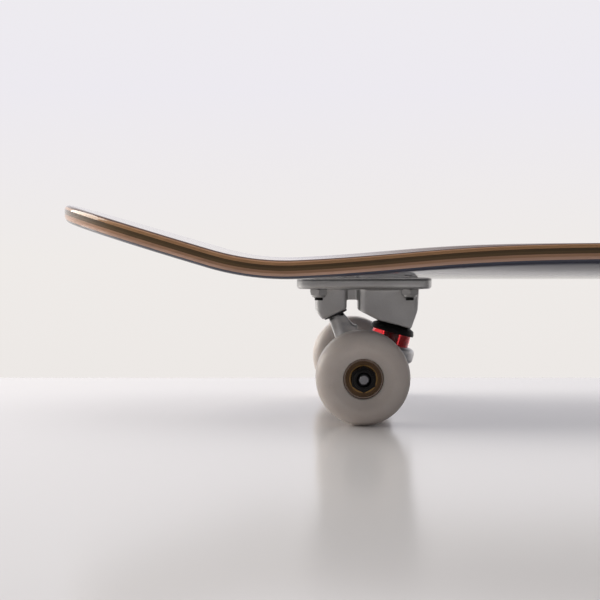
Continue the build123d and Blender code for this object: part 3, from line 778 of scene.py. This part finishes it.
def make_hardware(end):
    """Kingpin, nuts, washers and bushings of one truck."""
    truck = truck_matrix(end)
    down = truck @ KINGPIN

    def black_piece(name, node, shape):
        make_piece(f"{name}_{end}", moved(shape, down), BLACK_STEEL, "board", f"{node}_{end}")

    radius, bore = KINGPIN_RADIUS, BUSHING_BORE
    nut = hex_body(KINGPIN_NUT_FLATS, radius, 25.5, 31.6)
    collar = lathe(rounded([(radius, 31.0), (6.4, 31.0), (6.4, 33.5), (radius, 33.5)], 0.7), 64)
    flat = lathe(rounded([(bore, 23.75), (8.6, 23.75), (8.6, 25.5), (bore, 25.5)], 0.4))
    black_piece("kingpin_bolt", "kingpin", kingpin_shape())
    black_piece("kingpin_lock_nut", "kingpin_nut", joined(nut, collar))
    black_piece("cup_washer", "top_washer", cup_washer_shape())
    bushings = (("barrel_bushing", "top_bushing", barrel_outline(), -1.9, 9.0),
                ("cone_bushing", "bottom_bushing", cone_outline(), 23.7, 17.0))
    for name, node, outline, fixed, moving in bushings:
        mesh = mesh_from(f"{name}_{end}", *moved(lathe(outline, 128), down))
        bushing = add_object(f"{name}_{end}", mesh, RED)
        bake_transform(bushing)
        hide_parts(f"{node}_{end}")
    black_piece("flat_washer", "bottom_washer", flat)
    make_piece(f"pivot_bushing_{end}", moved(pivot_cup_shape(), truck @ PIVOT), BLACK_PLASTIC, "board",
               f"pivot_cup_{end}")


def make_bolt_nuts(end):
    """The four zinc-plated lock nuts under a baseplate, each with a rounded collar below its hexagon."""
    low, high = (c[2] / MM - AXLE_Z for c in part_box(f"truck_bolt_nuts_{end}"))
    bore = BOLT_SHANK + 0.05
    collar = rounded([(bore, low), (3.9, low, 0.8), (4.2, low + 1.6), (bore, low + 1.6)], 0.2)
    nut = joined(hex_body(BOLT_NUT_FLATS, bore, low + 1.4, high), lathe(collar, 48))
    nuts = [moved(nut, truck_matrix(end) @ Matrix.Translation((x, y, 0))) for x, y in bolt_places()]
    make_piece(f"baseplate_nuts_{end}", joined(*nuts), ZINC, "board", f"truck_bolt_nuts_{end}")


def axle_outline():
    """The axle from end to end: threads for the nuts, and turned-down tips."""
    half, tip = HALF_WIDTH, AXLE_TIP_RADIUS
    positive = [(AXLE_RADIUS, AXLE_THREAD_START), *threaded(3.98, AXLE_THREAD_START, half - 1.9, 1.06, 0.38),
                (tip, half - 1.7), (tip, half - 0.4), (tip - 0.4, half), (0, half)]
    return positive + [(r, -z) for r, z in reversed(positive)]


def inner_race_shape(middle):
    """One inner race, about a place on the axle, with its ball groove."""
    groove = [(BALL_PITCH - BALL_GROOVE * cos(radians(a)), middle + BALL_GROOVE * sin(radians(a)))
              for a in range(40, -41, -8)]
    side = [(AXLE_RADIUS, 3.3), (4.2, 3.5), (5.8, 3.5), (6.0, 3.3)]
    low = [(r, middle - z) for r, z in side]
    high = [(r, middle + z) for r, z in reversed(side)]
    return lathe([*low, *reversed(groove), *high], 64)


def make_axle(end):
    """Axle with threaded ends, its nuts, washers, spacers and inner races."""
    truck = truck_matrix(end)
    body = f"hanger_set_{end}"
    axle = moved(lathe(axle_outline(), 48), truck @ ALONG_Y)
    make_piece(f"axle_rod_{end}", axle, DULL_STEEL, body, f"axle_{end}")

    def both_ends(name, node, shape, material):
        pair = [moved(shape, truck @ Matrix.Rotation(-pi / 2 * side, 4, "X")) for side in (1, -1)]
        make_piece(f"{name}_{end}", joined(*pair), material, body, f"{node}_{end}")

    def sleeve(outer, start, stop, edge):
        corners = [(AXLE_RADIUS, start), (outer, start), (outer, stop), (AXLE_RADIUS, stop)]
        return lathe(rounded(corners, edge), 64)

    nut = hex_body(AXLE_NUT_FLATS, AXLE_RADIUS, 95.1, 99.6)
    collar = lathe(rounded([(3.95, 99.3), (5.55, 99.3), (5.35, 101.2, 0.8), (3.95, 101.2, 0.3)], 0.3), 64)
    both_ends("axle_lock_nuts", "axle_nuts", joined(nut, collar), BLACK_STEEL)
    washers = [sleeve(SPEED_WASHER_RADIUS, z, z + 0.8, 0.2) for z in (69.5, 94.3)]
    both_ends("thin_washers", "speed_washers", joined(*washers), STEEL)
    spacer = sleeve(SPACER_RADIUS, WHEEL_Y - 5, WHEEL_Y + 5, 0.3)
    both_ends("spacer_tubes", "bearing_spacers", spacer, STEEL)
    races = [inner_race_shape(WHEEL_Y + side * BEARING_OFFSET) for side in (-1, 1)]
    both_ends("race_rings_inner", "inner_races", joined(*races), RACE_STEEL)


# ---------------------------------------------------------------- wheels
def wheel_outline():
    """Half-round lips, a nearly flat face and a stepped seat for each bearing."""
    seat = [(8.0, 5.0), (BEARING_RADIUS, 5.0), (BEARING_RADIUS, 13.3)]
    rim = [(11.9 - 0.9 * cos(radians(a)), 13.3 + 0.9 * sin(radians(a))) for a in range(15, 76, 15)]
    face = [(12.6, 14.4), (14.2, 14.85), (15.8, 15.2)]
    lip = [(17.0 + 8.99 * sin(radians(a)), 7.4 + 8.0 * cos(radians(a))) for a in range(0, 91, 5)]
    upper = seat + rim + face + lip + [(25.99, 2.0)]
    return upper + [(r, -z) for r, z in reversed(upper)]


def outer_race_shape():
    """One outer race, with its ball groove and the steps that hold its shields."""
    groove = [(BALL_PITCH + BALL_GROOVE * cos(radians(a)), BALL_GROOVE * sin(radians(a)))
              for a in range(-30, 31, 6)]
    step = [(10.7, 3.5), (9.95, 3.5), (9.72, 3.3), (9.72, 2.88), (9.2, 2.88)]
    mirrored = [(r, -z) for r, z in reversed(step)]
    return lathe([(BEARING_RADIUS, -3.2), (BEARING_RADIUS, 3.2), *step, *reversed(groove), *mirrored], 96)


def make_wheel(end, side):
    """One wheel with its outer races and their shields."""
    place = (Matrix.Translation((AXLE_X[end], SIDES[side] * WHEEL_Y, AXLE_Z))
             @ Matrix.Rotation(-pi / 2 * SIDES[side], 4, "X"))
    body, tag = f"wheel_set_{end}_{side}", f"{end}_{side}"
    seats = [Matrix.Translation((0, 0, BEARING_OFFSET)),
             Matrix.Translation((0, 0, -BEARING_OFFSET)) @ Matrix.Rotation(pi, 4, "X")]
    shield = [(6.38, 2.92), (9.68, 2.92), (9.68, 3.15), (9.05, 3.15), (8.85, 3.0), (8.1, 3.0), (7.95, 3.12),
              (6.6, 3.12), (6.38, 3.05)]
    lip = rounded([(6.95, 3.1), (7.75, 3.1), (7.75, 3.32), (6.95, 3.32)], 0.1, 4)

    def both_faces(outline):
        rings = [lathe([(r, face * z) for r, z in outline], 96) for face in (1, -1)]
        return joined(*(moved(ring, place @ seat) for seat in seats for ring in rings))

    def piece(name, node, shape, material, slot, sharp=35.0):
        make_piece(f"{name}_{tag}", shape, material, body, f"{node}_{tag}", sharp)

    races = joined(*(moved(outer_race_shape(), place @ seat) for seat in seats))
    piece("urethane_wheel", "wheel", moved(lathe(wheel_outline(), 192), place), WHITE, "white_urethane", 50)
    # outer races: bronze tint plus painted shade of the recessed bearing
    piece("race_rings_outer", "outer_races", races, SHADED_TINTED_RACE, "steel")
    # shields in the darkened bronze copy, painted shade of their groove; only the lip shows the lit bronze
    piece("dust_shields", "bearing_shields", both_faces(shield), SHADED_BRONZE, "bronze_shield")
    piece("shield_lips", "bearing_shields", both_faces(lip), BRONZE, "bronze_shield")


# ---------------------------------------------------------------- CAD nodes that keep their shape
def dress_cad_nodes():
    """Finishes for the CAD nodes whose shape is already right."""
    finishes = {"truck_bolts": BLACK_STEEL, "bearing_balls": RACE_STEEL, "ball_cages": BLACK_PLASTIC}
    for name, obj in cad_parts.items():
        for start, material in finishes.items():
            if name.startswith(start):
                obj.data.materials.clear()
                obj.data.materials.append(material)


# ---------------------------------------------------------------- floor, light and camera
def make_floor():
    """A pale tabletop that ends about 11 cm behind the board."""
    side, front, back = 3000.0, -2000.0, 212.0
    mesh = mesh_from("floor", [(-side, front, 0), (side, front, 0), (side, back, 0), (-side, back, 0)],
                     [(0, 1, 2, 3)])
    add_object("floor", mesh, floor_material("floor"))


def make_world():
    """Soft studio surround: bright behind the board, dim behind the camera, cool high up, warm low down."""
    world = bpy.data.worlds.new("studio")
    bpy.context.scene.world = world
    world.use_nodes = True
    tree = world.node_tree
    split = tree.nodes.new("ShaderNodeSeparateXYZ")
    tree.links.new(tree.nodes.new("ShaderNodeTexCoord").outputs["Generated"], split.inputs[0])

    def ramp(axis, low, high, stops):
        span = tree.nodes.new("ShaderNodeMapRange")
        span.inputs["From Min"].default_value, span.inputs["From Max"].default_value = low, high
        tree.links.new(split.outputs[axis], span.inputs["Value"])
        node = tree.nodes.new("ShaderNodeValToRGB")
        while len(node.color_ramp.elements) < len(stops):
            node.color_ramp.elements.new(0.5)
        for element, (place, colour) in zip(node.color_ramp.elements, stops):
            element.position, element.color = place, (*colour, 1)
        tree.links.new(span.outputs[0], node.inputs[0])
        return node.outputs["Color"]

    front, beside = (0.20, 0.195, 0.19), (0.27, 0.265, 0.26)
    beyond, back = (0.74, 0.74, 0.74), (0.87, 0.87, 0.87)
    depth = ramp("Y", -1, 1, [(0.0, front), (0.42, beside), (0.7, beyond), (0.92, back)])
    ground, low = (0.94, 0.90, 0.87), (0.99, 0.955, 0.93)
    middle, high, ceiling = (0.97, 0.945, 1.0), (0.99, 0.97, 1.0), (0.45, 0.45, 0.46)
    tint = ramp("Z", -0.2, 1.0, [(0.0, ground), (0.16, low), (0.25, middle), (0.36, high), (0.8, ceiling)])
    mixed = tree.nodes.new("ShaderNodeMixRGB")
    mixed.blend_type = "MULTIPLY"
    mixed.inputs["Fac"].default_value = 1.0
    tree.links.new(depth, mixed.inputs["Color1"])
    tree.links.new(tint, mixed.inputs["Color2"])
    tree.links.new(mixed.outputs[0], tree.nodes["Background"].inputs["Color"])
    tree.nodes["Background"].inputs["Strength"].default_value = 1.0


def make_light(name, location, target, size, power, colour=(1, 1, 1), mirrored=False):
    """A soft square area light, which shows only in glossy surfaces, and there only if mirrored."""
    data = bpy.data.lights.new(name, "AREA")
    data.shape, data.size, data.energy, data.color = "SQUARE", size, power, colour
    light = bpy.data.objects.new(name, data)
    light.location = location
    light.rotation_mode = "QUATERNION"
    light.rotation_quaternion = (Vector(target) - Vector(location)).to_track_quat("-Z", "Y")
    light.visible_camera, light.visible_glossy = False, mirrored
    bpy.context.scene.collection.objects.link(light)


def make_lights():
    """Two unseen softboxes over and behind the board, and a warm one at the left that gloss mirrors."""
    tail = (AXLE_X["tail"] * MM, 0, 0.05)
    make_light("back_softbox", (tail[0] - 0.35, 1.5, 1.3), tail, 1.4, 9, (1.0, 0.98, 0.96))
    make_light("top_softbox", (0, 0.15, 1.8), (0, 0, 0), 1.6, 7, (0.97, 0.98, 1.0))
    make_light("left_softbox", (tail[0] - 1.3, 0.5, 0.82), tail, 1.25, 23, (1.0, 0.955, 0.88), True)


def make_camera():
    """A long lens just above the tabletop, beside the tail truck."""
    outboard, distance, height, pitch = 0.0346, 0.926, 0.099, 2.06
    data = bpy.data.cameras.new("camera")
    data.lens, data.sensor_width = 91.74, 36.0
    camera = bpy.data.objects.new("camera", data)
    camera.location = (AXLE_X["tail"] * MM - outboard, -distance, height)
    camera.rotation_euler = (radians(90 - pitch), 0, 0)
    data.clip_start, data.clip_end = 0.01, 50
    bpy.context.scene.collection.objects.link(camera)
    bpy.context.scene.camera = camera


make_deck()
for truck_end in ENDS:
    make_castings(truck_end)
    make_hardware(truck_end)
    make_bolt_nuts(truck_end)
    make_axle(truck_end)
    for wheel_side in SIDES:
        make_wheel(truck_end, wheel_side)
dress_cad_nodes()
make_floor()
make_world()
make_lights()
make_camera()
bpy.context.scene.view_settings.view_transform = "Standard"
